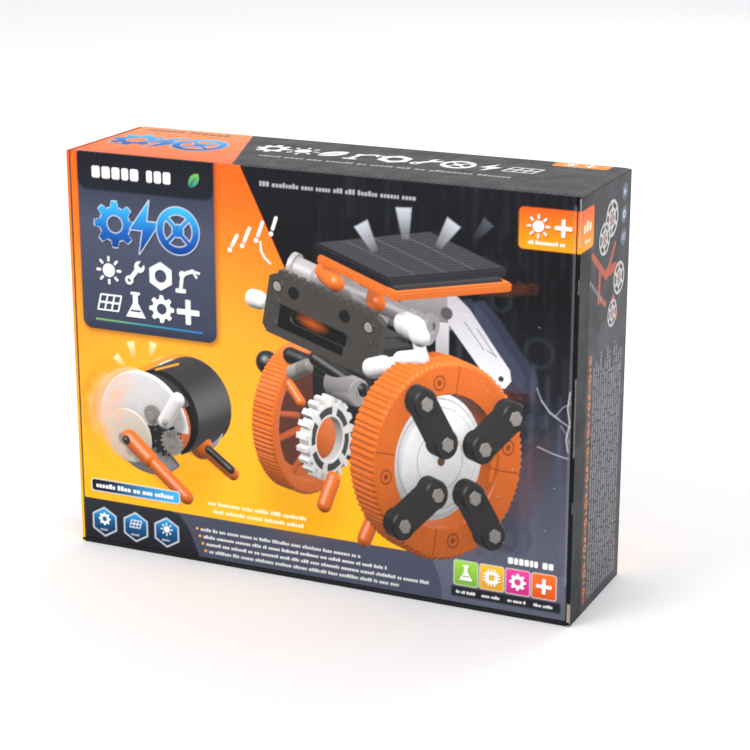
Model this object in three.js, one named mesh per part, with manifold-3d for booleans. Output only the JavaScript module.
// A boxed construction kit for a small solar-driven robot.
// Units are millimetres. +Z is up, the printed front faces -Y, and the origin is the middle of the
// carton's footprint. The carton is a tuck-front mailer that stands on its long side: the front face
// is a lid, creased along the top front edge, with two ears and a tuck flap. A formed tray behind it
// holds the robot's pieces, with the tray's open side towards the lid.

import Module from 'manifold-3d';
import * as THREE from 'three';
import { mergeVertices } from 'three/addons/utils/BufferGeometryUtils.js';

// ---- Driving dimensions ------------------------------------------------------------------------

// Carton
const WIDTH = 260;
const DEPTH = 70;
const HEIGHT = 200;
const BOARD = 1.5; // corrugated board, litho-laminated
const SEAM = 0.3; // gap between two panels that meet at a crease
const EAR_CLEARANCE = 0.6; // between an ear and the side wall it slides along
const LID_BOTTOM = 2.0; // height of the lid's lower edge
const TUCK_DEPTH = 20;
const TUCK_RISE = 3.5; // height of the tuck flap's lower face
const TUCK_INSET = 2.4; // the tuck flap is narrower than the lid by this much at each end
const EAR_TAPER = THREE.MathUtils.degToRad(12); // the ear widens downwards from the lid's hinge
const EAR_TOP = 180;
const EAR_BOTTOM = 11;
const TAB_DROP = 33; // height of the glued corner tabs
const TOP_TAB_FRONT = -20;
const BOTTOM_TAB_FRONT = 12;

// Booklet and tray
const BOOKLET = { width: 210, height: 148, thickness: 2.6, bottom: 20 };
const TRAY = { width: 250, bottom: 6, top: 197.4, depth: 60.5, deck: 50, skin: 1.0, corner: 6 };
const TRAY_BACK = 30.2; // Y of the tray's rear edge
const POCKET_GAP = 1.0; // space round a piece in its pocket
const REST_GAP = 0.3; // space under a piece in its pocket

// Ring wheels and hub discs
const RING = { outer: 48, band: 42.5, inner: 36, width: 18, web: 12, lugs: 7, groove: 1.3 };
const RING_SPLIT = 0.35; // half the joint line between two segments
const HUB = { radius: 29, height: 14 };

// Gears. A tooth is a trapezium round the pitch circle.
const TOOTH = { module: 1.0, addendum: 0.8, dedendum: 1.15, tip: 0.15, root: 0.29 };
const PINION_TEETH = 10;
const WHEEL_TEETH = 24;
const GEAR_SPACING = ((PINION_TEETH + WHEEL_TEETH) / 2) * TOOTH.module;

// Gearbox
const BOX = { width: 38, height: 62, rear: 34, front: 16, wall: 1.6 };
const MOTOR = { radius: 9, bottom: 3, top: 29.7, y: -20 };
const AXLE_RADIUS = 1.5;
const BORE_RADIUS = 1.85;

// Loose pieces
const SOLAR = { width: 90, height: 64, thickness: 12, rim: 5, wall: 2.6 };
const ARM = { reach: 20, radius: 6.5, thickness: 8, hole: 3.1 };
const PIN = { head: 4.2, shank: 2.75, cap: 3.2 };
const SPROCKET = { radius: 20, teeth: 16, thickness: 7 };
const MASK = { width: 62, height: 30, thickness: 5 };
const SPOOL = { length: 30, flange: 7.5, body: 6 };
const ELBOW = { reach: 12.5, rise: 5, knuckle: 4.2, bar: 5, thickness: 8 };
const BRACKET = { length: 42, height: 12, thickness: 4.5 };
const FOOT = { length: 27, height: 11, thickness: 10 };

// ---- Colours -----------------------------------------------------------------------------------

function material(color, roughness, metalness = 0) {
  return new THREE.MeshStandardMaterial({ color, roughness, metalness });
}

const LOOK = {
  board: material(0x26262a, 0.35),
  liner: material(0xb99a74, 0.9),
  paper: material(0xf2efe8, 0.6),
  tray: material(0xdfe3e6, 0.35),
  orange: material(0xe8641b, 0.4),
  white: material(0xeeeeec, 0.4),
  black: material(0x1d1d20, 0.45),
  grey: material(0x8a8d92, 0.45),
  smoke: material(0x3a3d42, 0.4),
  cell: material(0x141c3a, 0.15),
  steel: material(0xb8bbc0, 0.3, 0.9),
};

// ---- Solids ------------------------------------------------------------------------------------

const wasm = await Module();
wasm.setup();

function toSolid(geometry) {
  const bare = geometry.clone();
  for (const name of Object.keys(bare.attributes)) {
    if (name !== 'position') bare.deleteAttribute(name);
  }
  const merged = mergeVertices(bare, 1e-4);
  return new wasm.Manifold(new wasm.Mesh({
    numProp: 3,
    vertProperties: new Float32Array(merged.attributes.position.array),
    triVerts: new Uint32Array(merged.index.array),
  }));
}

function toGeometry(solid) {
  const mesh = solid.getMesh();
  const geometry = new THREE.BufferGeometry();
  geometry.setAttribute('position', new THREE.BufferAttribute(mesh.vertProperties, 3));
  geometry.setIndex(new THREE.BufferAttribute(mesh.triVerts, 1));
  geometry.computeVertexNormals();
  return geometry;
}

function join(...geometries) {
  const [first, ...rest] = geometries.map(toSolid);
  return toGeometry(rest.reduce((sum, next) => sum.add(next), first));
}

function cut(geometry, ...tools) {
  return toGeometry(tools.map(toSolid).reduce((left, tool) => left.subtract(tool), toSolid(geometry)));
}

function box([x0, x1], [y0, y1], [z0, z1]) {
  const geometry = new THREE.BoxGeometry(x1 - x0, y1 - y0, z1 - z0);
  return geometry.translate((x0 + x1) / 2, (y0 + y1) / 2, (z0 + z1) / 2);
}

function prism(shape, bottom, top, curveSegments = 3) {
  const settings = { depth: top - bottom, bevelEnabled: false, curveSegments };
  return new THREE.ExtrudeGeometry(shape, settings).translate(0, 0, bottom);
}

function polygon(points) {
  return new THREE.Shape(points.map(([x, y]) => new THREE.Vector2(x, y)));
}

function circle(radius, sides, x = 0, y = 0, turn = 0) {
  const points = [];
  for (let i = 0; i < sides; i++) {
    const angle = turn + (2 * Math.PI * i) / sides;
    points.push([x + radius * Math.cos(angle), y + radius * Math.sin(angle)]);
  }
  return polygon(points);
}

function roundedRectangle(width, height, radius, x = 0, y = 0) {
  const shape = new THREE.Shape();
  const corners = [[1, 1, 0], [-1, 1, 1], [-1, -1, 2], [1, -1, 3]];
  for (const [sx, sy, quarter] of corners) {
    const cx = x + sx * (width / 2 - radius);
    const cy = y + sy * (height / 2 - radius);
    shape.absarc(cx, cy, radius, quarter * Math.PI / 2, (quarter + 1) * Math.PI / 2);
  }
  return shape;
}

function stadium(reach, radius) {
  const shape = new THREE.Shape();
  shape.absarc(0, reach / 2, radius, 0, Math.PI);
  shape.absarc(0, -reach / 2, radius, Math.PI, 2 * Math.PI);
  return shape;
}

function lathe(profile, sides) {
  const points = profile.map(([radius, height]) => new THREE.Vector2(radius, height));
  return new THREE.LatheGeometry(points, sides).rotateX(Math.PI / 2);
}

// Toothed outline. A tooth, or with `gapFirst` a gap, points along +X.
function gearShape(teeth, gapFirst = false) {
  const pitchRadius = (teeth * TOOTH.module) / 2;
  const step = (2 * Math.PI) / teeth;
  const start = gapFirst ? step / 2 : 0;
  const flank = [
    [-TOOTH.root, -TOOTH.dedendum], [-TOOTH.tip, TOOTH.addendum],
    [TOOTH.tip, TOOTH.addendum], [TOOTH.root, -TOOTH.dedendum],
  ];
  const points = [];
  for (let i = 0; i < teeth; i++) {
    for (const [along, above] of flank) {
      const angle = start + step * (i + along);
      const radius = pitchRadius + above * TOOTH.module;
      points.push([radius * Math.cos(angle), radius * Math.sin(angle)]);
    }
  }
  return polygon(points);
}

const kit = new THREE.Group();

function add(parent, name, geometry, look, x = 0, y = 0, z = 0, turn = 0) {
  const mesh = new THREE.Mesh(geometry, look);
  mesh.name = name;
  mesh.position.set(x, y, z);
  mesh.rotation.z = turn;
  parent.add(mesh);
  return mesh;
}

// ---- Carton ------------------------------------------------------------------------------------

const FRONT = -DEPTH / 2;
const BACK = DEPTH / 2;
const HALF_WIDTH = WIDTH / 2;
const LID_HALF = HALF_WIDTH - BOARD - EAR_CLEARANCE;
const WALL_HALF = HALF_WIDTH - BOARD - SEAM;
const BEHIND_LID = FRONT + BOARD + SEAM;
const BEFORE_BACK = BACK - BOARD - SEAM;

function mirrored(range, side) {
  return side > 0 ? range : [-range[1], -range[0]];
}

// A top or bottom wall with the two tabs that are glued inside the side walls.
function crossWall(front, tabFront, wall, tab) {
  const panel = box([-WALL_HALF, WALL_HALF], [front, BEFORE_BACK], wall);
  const tabs = [-1, 1].map((side) => {
    const across = mirrored([WALL_HALF - BOARD, WALL_HALF], side);
    return box(across, [tabFront, BEFORE_BACK], tab);
  });
  return join(panel, ...tabs);
}

// An ear, drawn in the lid's side plane: x runs back from the lid, y runs up.
function earShape() {
  const reachAt = (height) => (HEIGHT - height) * Math.tan(EAR_TAPER) + FRONT;
  const shape = new THREE.Shape();
  const round = 9;
  const corner = reachAt(EAR_BOTTOM + 2 * round) - 1.4 * round;
  shape.moveTo(BEHIND_LID, EAR_BOTTOM);
  shape.lineTo(corner, EAR_BOTTOM);
  shape.quadraticCurveTo(corner + 1.4 * round, EAR_BOTTOM, corner + 1.4 * round, EAR_BOTTOM + 2 * round);
  shape.lineTo(reachAt(EAR_TOP), EAR_TOP);
  shape.lineTo(BEHIND_LID, EAR_TOP);
  return shape;
}

function ear(side) {
  const flat = prism(earShape(), 0, BOARD, 6);
  // The outline's x goes to Y, its y to Z, and its thickness to X.
  flat.rotateX(Math.PI / 2).rotateZ(Math.PI / 2);
  return flat.translate(side > 0 ? LID_HALF - BOARD : -LID_HALF, 0, 0);
}

function tuckFlap() {
  const half = LID_HALF - TUCK_INSET;
  const slope = 6;
  const outline = polygon([
    [-half, BEHIND_LID], [half, BEHIND_LID], [half, BEHIND_LID + TUCK_DEPTH - slope],
    [half - slope, BEHIND_LID + TUCK_DEPTH], [slope - half, BEHIND_LID + TUCK_DEPTH],
    [-half, BEHIND_LID + TUCK_DEPTH - slope],
  ]);
  return prism(outline, TUCK_RISE, TUCK_RISE + BOARD);
}

add(kit, 'back_panel', box([-HALF_WIDTH, HALF_WIDTH], [BACK - BOARD, BACK], [0, HEIGHT]), LOOK.board);
for (const [name, side] of [['left', -1], ['right', 1]]) {
  const across = mirrored([HALF_WIDTH - BOARD, HALF_WIDTH], side);
  add(kit, `${name}_side_wall`, box(across, [FRONT, BEFORE_BACK], [0, HEIGHT]), LOOK.board);
  add(kit, `${name}_ear`, ear(side), LOOK.liner);
}
const topWall = [HEIGHT - BOARD, HEIGHT];
const topTab = [HEIGHT - BOARD - TAB_DROP, HEIGHT - BOARD / 2];
add(kit, 'top_wall', crossWall(BEHIND_LID, TOP_TAB_FRONT, topWall, topTab), LOOK.board);
const bottomTab = [BOARD / 2, BOARD + TAB_DROP];
add(kit, 'bottom_wall', crossWall(FRONT, BOTTOM_TAB_FRONT, [0, BOARD], bottomTab), LOOK.board);
const lid = box([-LID_HALF, LID_HALF], [FRONT, FRONT + BOARD], [LID_BOTTOM, HEIGHT]);
add(kit, 'lid_panel', lid, LOOK.board);
add(kit, 'lid_tuck_flap', tuckFlap(), LOOK.liner);

const bookletSpan = [-BOOKLET.width / 2, BOOKLET.width / 2];
const bookletRise = [BOOKLET.bottom, BOOKLET.bottom + BOOKLET.height];
const booklet = box(bookletSpan, [BEFORE_BACK - BOOKLET.thickness, BEFORE_BACK], bookletRise);
add(kit, 'instruction_booklet', booklet, LOOK.paper);

// ---- Tray --------------------------------------------------------------------------------------

// Everything in the tray is drawn as seen from the front: x to the right, y up, and z out of the
// tray towards the lid, from 0 at the tray's rear edge.
const layout = new THREE.Group();
layout.rotation.x = Math.PI / 2;
layout.position.y = TRAY_BACK;
kit.add(layout);

const PLACE = {
  ringA: { x: -72, y: 144, z: 41 },
  ringB: { x: 72, y: 144, z: 41 },
  gearbox: { x: 0, y: 160, z: 5.5 },
  sprocket: { x: 0, y: 106, z: 44 },
  solar: { x: -75, y: 45, z: 43 },
  mask: { x: 86, y: 73.6, z: 46 },
};
const ARM_PLACES = [0, 1, 2, 3, 4, 5, 6, 7].map((i) => (
  { x: -16 + 16.6 * (i % 4), y: i < 4 ? 65 : 28.6, z: 45 }
));
const SPOOL_PLACES = [{ x: 66, y: 47.8, z: 44 }, { x: 102, y: 47.8, z: 44 }];
const ELBOW_PLACES = [{ x: 66, y: 18.5, z: 45 }, { x: 66, y: 29, z: 45 }];
const FOOT_PLACES = [{ x: 105, y: 17, z: 44 }, { x: 105, y: 31.2, z: 44 }];
const BRACKET_PLACES = [{ x: -99, y: 86.5, z: 47.5 }, { x: -51, y: 86.5, z: 47.5 }];

// Each pocket: its outline, grown by the given amount, and the height of its floor.
function pockets() {
  const rectangle = (place, width, height, corner = 3) => ({
    floor: place.z - REST_GAP,
    outline: (grow) => {
      const margin = 2 * (POCKET_GAP + grow);
      return roundedRectangle(width + margin, height + margin, corner, place.x, place.y);
    },
  });
  const round = (place, radius, sides) => ({
    floor: place.z - REST_GAP,
    outline: (grow) => circle(radius + POCKET_GAP + grow, sides, place.x, place.y),
  });
  return [
    round(PLACE.ringA, RING.outer, 28),
    round(PLACE.ringB, RING.outer, 28),
    round(PLACE.sprocket, SPROCKET.radius, 20),
    rectangle(PLACE.gearbox, BOX.width, BOX.height),
    rectangle({ ...PLACE.solar, y: PLACE.solar.y - 1 }, SOLAR.width, SOLAR.height + 2),
    rectangle(PLACE.mask, MASK.width, MASK.height),
    ...ARM_PLACES.map((place) => (
      rectangle({ ...place, z: place.z - 1.5 }, 2 * ARM.radius, ARM.reach + 2 * ARM.radius, 5)
    )),
    ...SPOOL_PLACES.map((place) => rectangle(place, SPOOL.length, 2 * SPOOL.flange)),
    elbowPocket(rectangle),
    ...FOOT_PLACES.map((place) => rectangle(place, FOOT.length, FOOT.height, 2)),
    ...BRACKET_PLACES.map((place) => rectangle(place, BRACKET.length, BRACKET.height, 2)),
  ];
}

// The two elbow arms nest in one pocket.
function elbowPocket(rectangle) {
  const [low, high] = ELBOW_PLACES;
  const width = 2 * (ELBOW.reach + ELBOW.knuckle);
  const height = high.y - low.y + ELBOW.rise + 2 * ELBOW.knuckle;
  return rectangle({ ...low, y: (low.y + high.y) / 2 }, width, height);
}

function trayGeometry() {
  const height = TRAY.top - TRAY.bottom;
  const middle = (TRAY.top + TRAY.bottom) / 2;
  const plate = (inset) => {
    const corner = TRAY.corner - inset;
    return roundedRectangle(TRAY.width - 2 * inset, height - 2 * inset, corner, 0, middle);
  };
  const above = prism(plate(TRAY.skin), TRAY.deck, TRAY.depth + 1);
  const below = prism(plate(TRAY.skin), -1, TRAY.deck - TRAY.skin);
  let tray = toSolid(cut(prism(plate(0), 0, TRAY.depth), above, below));
  const list = pockets();
  for (const pocket of list) {
    const bottom = pocket.floor - TRAY.skin;
    const tub = prism(pocket.outline(TRAY.skin), bottom, TRAY.deck - TRAY.skin / 2, 1);
    tray = tray.add(toSolid(tub));
  }
  for (const pocket of list) {
    tray = tray.subtract(toSolid(prism(pocket.outline(0), pocket.floor, TRAY.deck + 1, 1)));
  }
  return toGeometry(tray);
}

add(layout, 'parts_tray', trayGeometry(), LOOK.tray);

// ---- Ring wheels -------------------------------------------------------------------------------

function arcPoints(radius, from, to, steps) {
  const points = [];
  for (let i = 0; i <= steps; i++) {
    const angle = from + ((to - from) * i) / steps;
    points.push([radius * Math.cos(angle), radius * Math.sin(angle)]);
  }
  return points;
}

// A quarter of a ring wheel, centred on +X, with tread lugs, a stepped web and two snap sockets.
function ringSegment() {
  const split = RING_SPLIT / RING.outer;
  const from = -Math.PI / 4 + split;
  const to = Math.PI / 4 - split;
  const tread = [];
  const step = (to - from) / RING.lugs;
  for (let i = 0; i < RING.lugs; i++) {
    const groove = RING.outer - RING.groove;
    tread.push(...arcPoints(groove, from + step * i, from + step * (i + 0.22), 1));
    tread.push(...arcPoints(RING.outer, from + step * (i + 0.3), from + step * (i + 0.92), 1));
  }
  tread.push(...arcPoints(RING.outer - RING.groove, to, to, 1).slice(1));
  const band = polygon([...tread, ...arcPoints(RING.band, to, from, 6)]);
  const web = polygon([
    ...arcPoints(RING.band + 1, from, to, 6),
    ...arcPoints(RING.inner, to, from, 6),
  ]);
  const step0 = (RING.width - RING.web) / 2;
  const sockets = [-1, 1].map((side) => {
    const angle = side * Math.PI / 8;
    const middle = (RING.band + RING.inner) / 2;
    return { x: middle * Math.cos(angle), y: middle * Math.sin(angle) };
  });
  const collars = sockets.map(({ x, y }) => (
    prism(circle(2.7, 9, x, y), step0, RING.width - step0 + 1)
  ));
  const holes = sockets.map(({ x, y }) => prism(circle(1.5, 6, x, y), -1, RING.width + 1));
  const body = join(prism(band, 0, RING.width), prism(web, step0, RING.width - step0), ...collars);
  return cut(body, ...holes);
}

// A domed disc with stepped rings and a flat centre boss.
function hubDisc() {
  return lathe([
    [0, 0], [HUB.radius - 2, 0], [HUB.radius, 2], [HUB.radius, 6], [HUB.radius - 2, 8],
    [HUB.radius - 9, 9.5], [HUB.radius - 16, 12], [6.5, HUB.height - 1], [6, HUB.height], [0, HUB.height],
  ], 26);
}

const segment = ringSegment();
const disc = hubDisc();
for (const [letter, place] of [['a', PLACE.ringA], ['b', PLACE.ringB]]) {
  for (let i = 0; i < 4; i++) {
    const turn = Math.PI / 4 + (i * Math.PI) / 2;
    add(layout, `ring_${letter}_segment_${i + 1}`, segment, LOOK.orange, place.x, place.y, place.z, turn);
  }
  add(layout, `hub_disc_${letter}`, disc, LOOK.white, place.x, place.y, place.z);
}

// ---- Sprocket wheel ----------------------------------------------------------------------------

function sprocket() {
  const points = [];
  const step = (2 * Math.PI) / SPROCKET.teeth;
  for (let i = 0; i < SPROCKET.teeth; i++) {
    for (const [along, above] of [[-0.3, -4], [-0.16, 0], [0.16, 0], [0.3, -4]]) {
      const angle = step * (i + along);
      const radius = SPROCKET.radius + above;
      points.push([radius * Math.cos(angle), radius * Math.sin(angle)]);
    }
  }
  const hub = prism(circle(6, 12), 0, SPROCKET.thickness + 2.5);
  const holes = [0, 1, 2, 3, 4].map((i) => {
    const angle = (i * 2 * Math.PI) / 5;
    return prism(circle(1.9, 8, 11 * Math.cos(angle), 11 * Math.sin(angle)), -1, SPROCKET.thickness + 1);
  });
  return cut(join(prism(polygon(points), 0, SPROCKET.thickness), hub), ...holes);
}

add(layout, 'sprocket_wheel', sprocket(), LOOK.white, PLACE.sprocket.x, PLACE.sprocket.y, PLACE.sprocket.z);

// ---- Solar module ------------------------------------------------------------------------------

function solarFrame() {
  const { width, height, thickness, rim, wall } = SOLAR;
  const outside = prism(roundedRectangle(width, height, 3), 0, thickness);
  const window = prism(roundedRectangle(width - 2 * rim, height - 2 * rim, 2), -1, thickness + 1);
  const seat = prism(roundedRectangle(width - 2 * wall, height - 2 * wall, 2), -1, thickness - 2.4);
  const clips = [-24, 24].map((x) => box([x - 5, x + 5], [-height / 2 - 1.8, -height / 2 + 1], [3, 9]));
  return join(cut(outside, window, seat), ...clips);
}

const solar = new THREE.Group();
solar.position.set(PLACE.solar.x, PLACE.solar.y, PLACE.solar.z);
layout.add(solar);
const seatWidth = SOLAR.width - 2 * SOLAR.wall - 2 * SEAM;
const seatHeight = SOLAR.height - 2 * SOLAR.wall - 2 * SEAM;
add(solar, 'solar_frame', solarFrame(), LOOK.orange);
add(solar, 'solar_housing', prism(roundedRectangle(seatWidth, seatHeight, 1.7), 0, 7), LOOK.smoke);
add(solar, 'solar_cell_panel', prism(roundedRectangle(seatWidth, seatHeight, 1.7), 7.3, 9.3), LOOK.cell);

// ---- Gearbox -----------------------------------------------------------------------------------

// Axes run out of the tray, from the motor at the bottom through the idler to the output gear.
const IDLER_Y = MOTOR.y + GEAR_SPACING;
const OUTPUT_Y = IDLER_Y + GEAR_SPACING;
const gearbox = new THREE.Group();
gearbox.position.set(PLACE.gearbox.x, PLACE.gearbox.y, PLACE.gearbox.z);
layout.add(gearbox);

function rearShell() {
  const { width, height, rear, wall } = BOX;
  const tub = cut(
    prism(roundedRectangle(width, height, 4), 0, rear),
    prism(roundedRectangle(width - 2 * wall, height - 2 * wall, 2.4), wall, rear + 1),
  );
  const posts = [IDLER_Y, OUTPUT_Y].flatMap((y) => [
    prism(circle(3, 12, 0, y), wall / 2, rear - 1),
    prism(circle(AXLE_RADIUS, 12, 0, y), wall / 2, 46.5),
  ]);
  return join(tub, ...posts);
}

function frontShell() {
  const { width, height, rear, front, wall } = BOX;
  const bottom = rear + SEAM;
  const top = rear + front;
  return cut(
    prism(roundedRectangle(width, height, 4), bottom, top),
    prism(roundedRectangle(width - 2 * wall, height - 2 * wall, 2.4), bottom - 1, top - wall),
    prism(roundedRectangle(width - 8, height - 12, 6, 0, 1), top - wall - 1, top + 1),
  );
}

// Large wheel low, small pinion high, on one bore.
function idlerGear() {
  return cut(
    join(
      prism(gearShape(WHEEL_TEETH, true), 35, 39),
      prism(circle(3.4, 16), 38.5, 41),
      prism(gearShape(PINION_TEETH, true), 40.3, 46),
    ),
    prism(circle(BORE_RADIUS, 12), 30, 50),
  );
}

function outputGear() {
  return cut(
    join(
      prism(gearShape(WHEEL_TEETH), 41, 45),
      prism(circle(3.4, 16), 35, 42),
      prism(circle(3.6, 6), 44, 54),
    ),
    prism(circle(BORE_RADIUS, 12), 30, 47.5),
  );
}

function motorPinion() {
  return join(
    prism(gearShape(PINION_TEETH), 34.6, 39.5),
    prism(circle(1, 8), MOTOR.top + 2 * SEAM, 35),
  );
}

function motorCan() {
  const { radius, bottom, top } = MOTOR;
  return lathe([
    [0, bottom], [radius - 1, bottom], [radius, bottom + 1], [radius, top - 1.7], [radius - 1, top - 0.7],
    [3, top - 0.7], [3, top], [0, top],
  ], 20);
}

add(gearbox, 'gearbox_rear_shell', rearShell(), LOOK.grey);
add(gearbox, 'gearbox_front_shell', frontShell(), LOOK.smoke);
add(gearbox, 'motor_can', motorCan(), LOOK.steel, 0, MOTOR.y, 0);
add(gearbox, 'motor_pinion', motorPinion(), LOOK.white, 0, MOTOR.y, 0, Math.PI / 2);
// The idler's wheel gap faces down to the pinion, and its pinion gap faces up to the output gear.
add(gearbox, 'idler_gear', idlerGear(), LOOK.white, 0, IDLER_Y, 0, -Math.PI / 2);
add(gearbox, 'output_gear', outputGear(), LOOK.orange, 0, OUTPUT_Y, 0, -Math.PI / 2);

// ---- Link arms and their pins ------------------------------------------------------------------

function linkArm() {
  const hole = prism(circle(ARM.hole, 12, 0, ARM.reach / 2), -1, ARM.thickness + 1);
  const boss = prism(circle(PIN.head, 6, 0, -ARM.reach / 2), ARM.thickness - 0.5, ARM.thickness + 1.2);
  return cut(join(prism(stadium(ARM.reach, ARM.radius), 0, ARM.thickness, 6), boss), hole);
}

function hexPin() {
  const neck = ARM.thickness + SEAM;
  return join(
    prism(circle(PIN.head, 6), neck, neck + PIN.cap),
    prism(circle(PIN.shank, 10), -1, neck + 1),
  );
}

const arm = linkArm();
const pin = hexPin();
ARM_PLACES.forEach(({ x, y, z }, i) => {
  add(layout, `link_arm_${i + 1}`, arm, LOOK.black, x, y, z);
  add(layout, `hex_pin_${i + 1}`, pin, LOOK.grey, x, y + ARM.reach / 2, z);
});

// ---- Face plate --------------------------------------------------------------------------------

// A plate with a toothed top edge, a sunk mouth slot and rivet heads.
function facePlate() {
  const { width, height, thickness } = MASK;
  const teeth = 11;
  const pitch = (width - 8) / teeth;
  const top = height / 2;
  const points = [[-width / 2, 3 - top], [3 - width / 2, -top], [width / 2 - 3, -top], [width / 2, 3 - top]];
  points.push([width / 2, top - 4], [width / 2 - 4, top - 1.6]);
  for (let i = 0; i < teeth; i++) {
    const right = width / 2 - 4 - pitch * i;
    points.push([right - pitch * 0.3, top - 1.6], [right - pitch * 0.3, top]);
    points.push([right - pitch * 0.9, top], [right - pitch * 0.9, top - 1.6]);
  }
  points.push([4 - width / 2, top - 1.6], [-width / 2, top - 4]);
  const mouth = prism(roundedRectangle(34, 6, 2.9, 0, -3.5), thickness - 2, thickness + 1, 3);
  const rivets = [];
  for (const x of [-25, 25]) {
    for (const y of [-9, 1, 9]) rivets.push(prism(circle(1.9, 8, x, y), 1, thickness + 0.9));
  }
  return join(cut(prism(polygon(points), 0, thickness), mouth), ...rivets);
}

add(layout, 'face_plate', facePlate(), LOOK.black, PLACE.mask.x, PLACE.mask.y, PLACE.mask.z);

// ---- Small structural pieces -------------------------------------------------------------------

// A spool that carries an axle, lying across the tray.
function axleSpool() {
  const { length, flange, body } = SPOOL;
  const profile = [
    [0, 1.5], [3.6, 1.5], [3.6, 0], [flange, 0], [flange, 2.5], [body, 2.5],
    [body, length - 2.5], [flange, length - 2.5], [flange, length], [3.6, length],
    [3.6, length - 1.5], [0, length - 1.5],
  ];
  return lathe(profile, 14).rotateY(Math.PI / 2).translate(-length / 2, 0, flange);
}

// A bent arm with a round knuckle at each end and at the bend.
function elbowArm() {
  const { reach, rise, knuckle, bar, thickness } = ELBOW;
  const half = bar / 2;
  const inset = (thickness - bar) / 2;
  const [low, high] = [-rise / 2, rise / 2];
  const bars = polygon([
    [-reach, low - half], [0, high - half], [reach, low - half],
    [reach, low + half], [0, high + half], [-reach, low + half],
  ]);
  const knuckles = [[-reach, low], [0, high], [reach, low]];
  return join(
    prism(bars, inset, thickness - inset),
    ...knuckles.map(([x, y]) => prism(circle(knuckle, 14, x, y), 0, thickness)),
  );
}

function rearBracket() {
  const { length, height, thickness } = BRACKET;
  const outline = polygon([
    [-length / 2, -height / 2], [length / 2, -height / 2], [length / 2, 4 - height / 2],
    [4 - length / 2, height / 2], [-length / 2, height / 2],
  ]);
  const holes = [[-17.5, 1.5], [-17.5, -3.5], [-8, -2], [2, -3], [12, -4], [18, -4]];
  const drilled = holes.map(([x, y]) => prism(circle(1.3, 8, x, y), -1, thickness + 1));
  return cut(prism(outline, 0, thickness), ...drilled);
}

// A foot: a flat sole with a raked shin and a pin hole.
function foot() {
  const { length, height, thickness } = FOOT;
  const outline = polygon([
    [-length / 2, -height / 2], [length / 2, -height / 2], [length / 2, 2.5 - height / 2],
    [4, 1], [-2, height / 2], [-length / 2 + 3, height / 2], [-length / 2, 0],
  ]);
  return cut(prism(outline, 0, thickness), prism(circle(1.6, 10, -7, 1), -1, thickness + 1));
}

SPOOL_PLACES.forEach(({ x, y, z }, i) => add(layout, `axle_spool_${i + 1}`, axleSpool(), LOOK.grey, x, y, z));
ELBOW_PLACES.forEach(({ x, y, z }, i) => add(layout, `elbow_arm_${i + 1}`, elbowArm(), LOOK.white, x, y, z));
FOOT_PLACES.forEach(({ x, y, z }, i) => add(layout, `foot_${i + 1}`, foot(), LOOK.orange, x, y, z));
BRACKET_PLACES.forEach(({ x, y, z }, i) => (
  add(layout, `rear_bracket_${i + 1}`, rearBracket(), LOOK.white, x, y, z, i * Math.PI)
));

export default kit;
